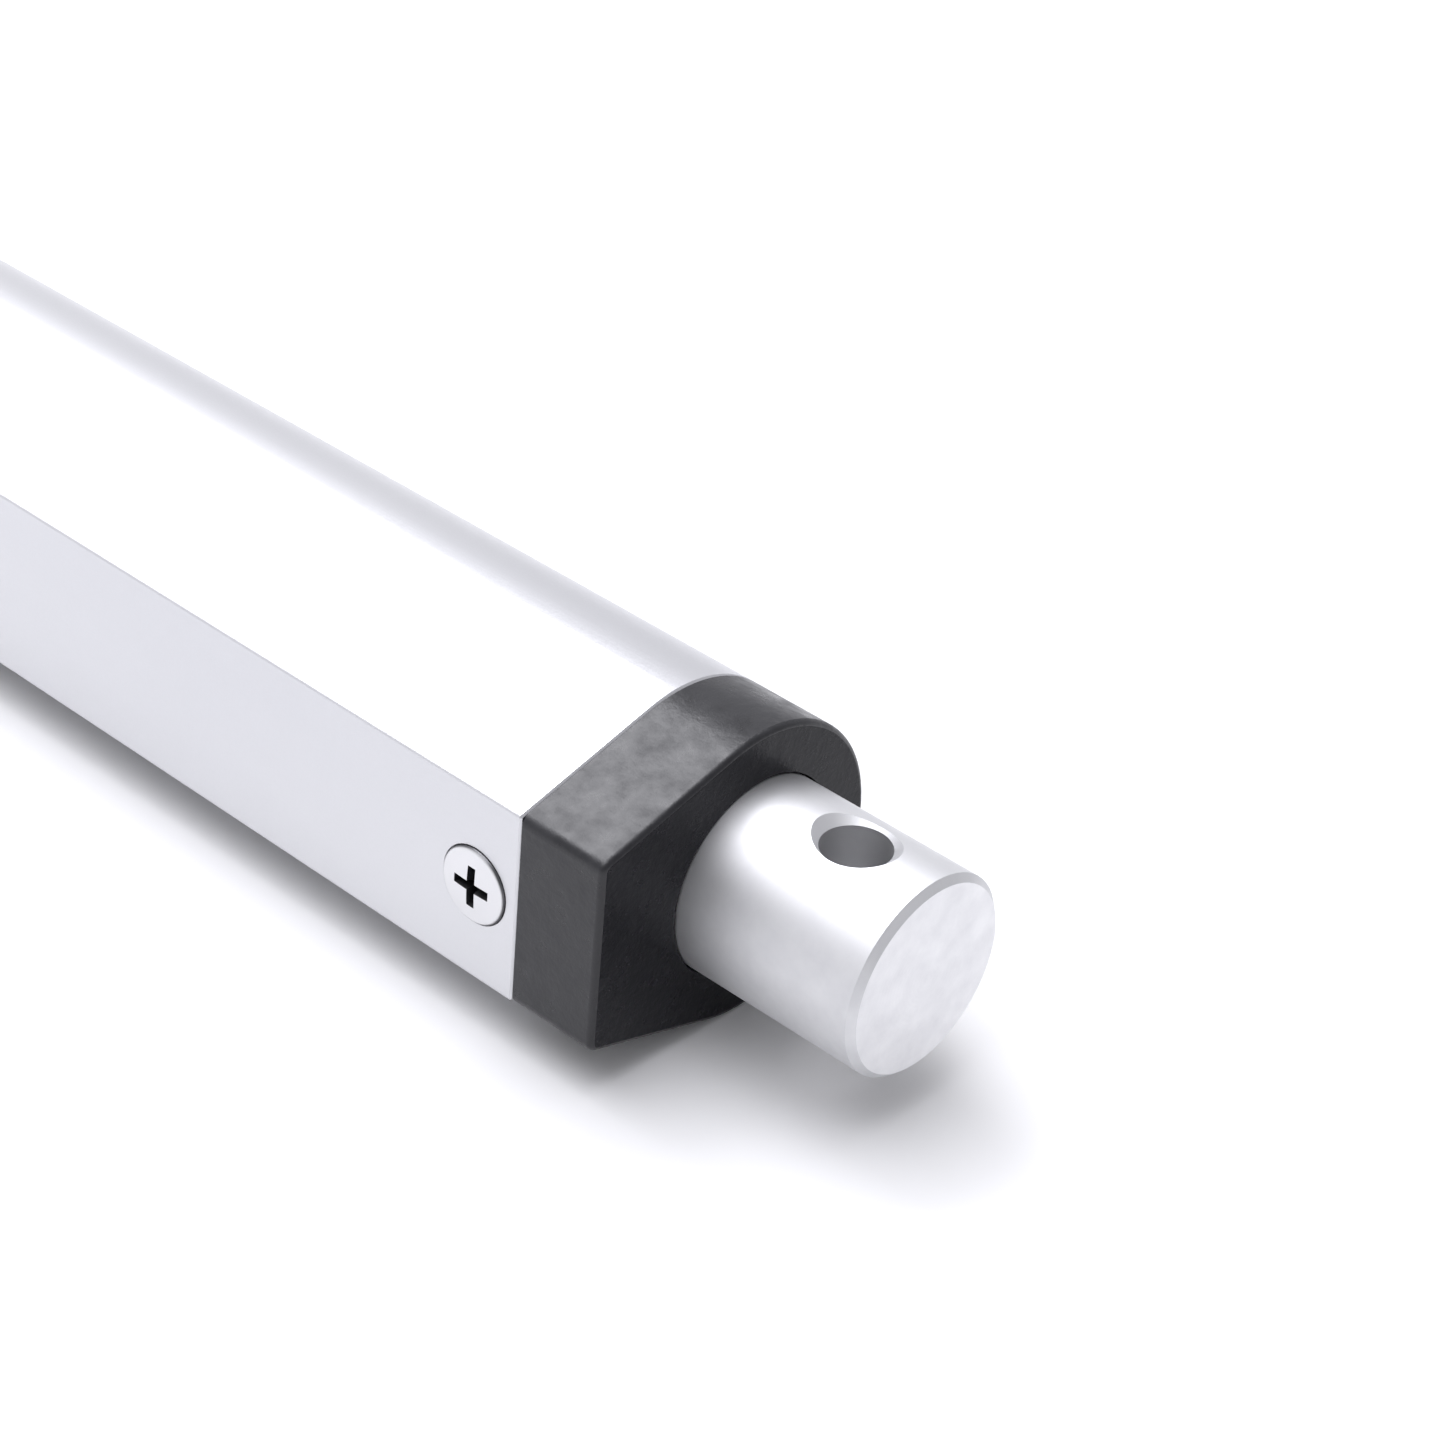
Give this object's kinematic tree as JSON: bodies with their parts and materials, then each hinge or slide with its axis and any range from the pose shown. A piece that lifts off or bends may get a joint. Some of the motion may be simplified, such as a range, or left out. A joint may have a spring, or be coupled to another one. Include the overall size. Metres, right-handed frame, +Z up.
{
  "type": "linear actuator",
  "caption": "Slim inline electric linear actuator: silver D-section housing, black end caps, thick cross-drilled push rod, motor, planetary gears and lead screw inside.",
  "frame": {"origin": "on the rear pin hole's axis, at the rod's centre line", "axes": "+X the way the rod extends, +Z up along both pin holes, the flat side of the housing faces -Y"},
  "size_m": [0.1695, 0.0268, 0.0228],
  "materials": {
    "anodised_silver": "satin anodised extrusion, fine bead-blasted grain",
    "rod_aluminium": "bright satin anodised, finely turned",
    "black_plastic": "moulded glass-filled nylon, fine texture",
    "screw_steel": "nickel-plated",
    "black_rubber": "matte",
    "bush_polymer": "bearing-grade acetal",
    "bearing_bronze": "sintered, oil-filled",
    "gear_steel": "sintered steel",
    "bright_steel": "ground",
    "brass": "pressed",
    "zinc_plate": "zinc-plated sheet",
    "magnet_ceramic": "sintered ferrite",
    "nut_acetal": "machined acetal",
    "sensor_magnet": "nickel-plated",
    "winding_enamel": "enamelled copper wire",
    "copper": "turned copper segments",
    "phenolic": "moulded",
    "laminations": "stacked steel sheet",
    "carbon": "pressed carbon",
    "tinned_brass": "tinned",
    "holder_alloy": "machined",
    "board_green": "glass-epoxy laminate with solder mask",
    "component_black": "moulded package",
    "lead_red": "extruded insulation",
    "lead_black": "extruded insulation"
  },
  "bodies": {
    "housing": {"housing_tube": "anodised_silver", "front_cap": "black_plastic", "rear_cap": "black_plastic", "front_cap_seal": "black_rubber", "rear_cap_seal": "black_rubber", "front_cap_screw": "screw_steel", "rear_cap_screw": "screw_steel", "cable_grommet": "black_rubber", "rod_guide_bush": "bush_polymer", "rod_wiper_seal": "black_rubber", "motor_can": "zinc_plate", "motor_end_bell": "phenolic", "motor_magnets": "magnet_ceramic", "motor_rear_bush": "bearing_bronze", "motor_front_bush": "bearing_bronze", "motor_brushes": "carbon", "motor_terminals": "tinned_brass", "ring_gear": "gear_steel", "gearbox_end_plate": "zinc_plate", "output_shaft_bush": "bearing_bronze", "bearing_holder": "holder_alloy", "bearing_outer_race": "bright_steel", "sensor_board": "board_green", "rear_limit_sensor": "component_black", "front_limit_sensor": "component_black", "board_diodes": "component_black", "motor_lead_red": "lead_red", "motor_lead_black": "lead_black"},
    "rotor": {"motor_shaft": "bright_steel", "armature_core": "laminations", "armature_windings": "winding_enamel", "commutator": "copper", "commutator_hub": "phenolic", "first_sun_gear": "gear_steel"},
    "stage_one": {"first_carrier": "gear_steel", "first_planet_pins": "bright_steel", "second_sun_gear": "gear_steel"},
    "screw": {"second_carrier": "gear_steel", "second_planet_pins": "bright_steel", "coupling_pin": "bright_steel", "lead_screw": "bright_steel", "retaining_ring": "bright_steel", "bearing_inner_race": "bright_steel"},
    "ball_set": {"bearing_balls": "bright_steel", "bearing_cage": "brass"},
    "rod": {"push_rod": "rod_aluminium", "drive_nut": "nut_acetal", "nut_magnet": "sensor_magnet", "nut_lock_pins": "bright_steel"},
    "first_planet_1_body": {"first_planet_1": "gear_steel"},
    "first_planet_2_body": {"first_planet_2": "gear_steel"},
    "first_planet_3_body": {"first_planet_3": "gear_steel"},
    "second_planet_1_body": {"second_planet_1": "gear_steel"},
    "second_planet_2_body": {"second_planet_2": "gear_steel"},
    "second_planet_3_body": {"second_planet_3": "gear_steel"}
  },
  "joints": [
    {"name": "rod_slide", "type": "slide", "parent": "housing", "child": "rod", "axis": [1, 0, 0], "range_m": [0, 0.05]},
    {"name": "motor_spin", "type": "hinge", "parent": "housing", "child": "rotor", "pos_m": [0.035, 0, 0], "axis": [-1, 0, 0], "continuous": true},
    {"name": "stage_one_spin", "type": "hinge", "parent": "housing", "child": "stage_one", "pos_m": [0.0515, 0, 0], "axis": [-1, 0, 0], "continuous": true},
    {"name": "screw_spin", "type": "hinge", "parent": "housing", "child": "screw", "pos_m": [0.0666, 0, 0], "axis": [-1, 0, 0], "continuous": true},
    {"name": "ball_set_spin", "type": "hinge", "parent": "housing", "child": "ball_set", "pos_m": [0.0666, 0, 0], "axis": [-1, 0, 0], "continuous": true},
    {"name": "first_planet_1_spin", "type": "hinge", "parent": "stage_one", "child": "first_planet_1_body", "pos_m": [0.049, 0.00405, 0], "axis": [-1, 0, 0], "continuous": true},
    {"name": "first_planet_2_spin", "type": "hinge", "parent": "stage_one", "child": "first_planet_2_body", "pos_m": [0.049, -0.00202, 0.00351], "axis": [-1, 0, 0], "continuous": true},
    {"name": "first_planet_3_spin", "type": "hinge", "parent": "stage_one", "child": "first_planet_3_body", "pos_m": [0.049, -0.00202, -0.00351], "axis": [-1, 0, 0], "continuous": true},
    {"name": "second_planet_1_spin", "type": "hinge", "parent": "screw", "child": "second_planet_1_body", "pos_m": [0.0541, 0.00405, 0], "axis": [-1, 0, 0], "continuous": true},
    {"name": "second_planet_2_spin", "type": "hinge", "parent": "screw", "child": "second_planet_2_body", "pos_m": [0.0541, -0.00202, 0.00351], "axis": [-1, 0, 0], "continuous": true},
    {"name": "second_planet_3_spin", "type": "hinge", "parent": "screw", "child": "second_planet_3_body", "pos_m": [0.0541, -0.00202, -0.00351], "axis": [-1, 0, 0], "continuous": true}
  ],
  "couplings": [
    {"joint": "motor_spin", "follows": "rod_slide", "rad_per_m": 63617},
    {"joint": "stage_one_spin", "follows": "rod_slide", "rad_per_m": 14137},
    {"joint": "screw_spin", "follows": "rod_slide", "rad_per_m": 3141.6},
    {"joint": "ball_set_spin", "follows": "rod_slide", "rad_per_m": 1291.5},
    {"joint": "first_planet_1_spin", "follows": "rod_slide", "rad_per_m": -39584},
    {"joint": "first_planet_2_spin", "follows": "rod_slide", "rad_per_m": -39584},
    {"joint": "first_planet_3_spin", "follows": "rod_slide", "rad_per_m": -39584},
    {"joint": "second_planet_1_spin", "follows": "rod_slide", "rad_per_m": -8796.5},
    {"joint": "second_planet_2_spin", "follows": "rod_slide", "rad_per_m": -8796.5},
    {"joint": "second_planet_3_spin", "follows": "rod_slide", "rad_per_m": -8796.5}
  ]
}
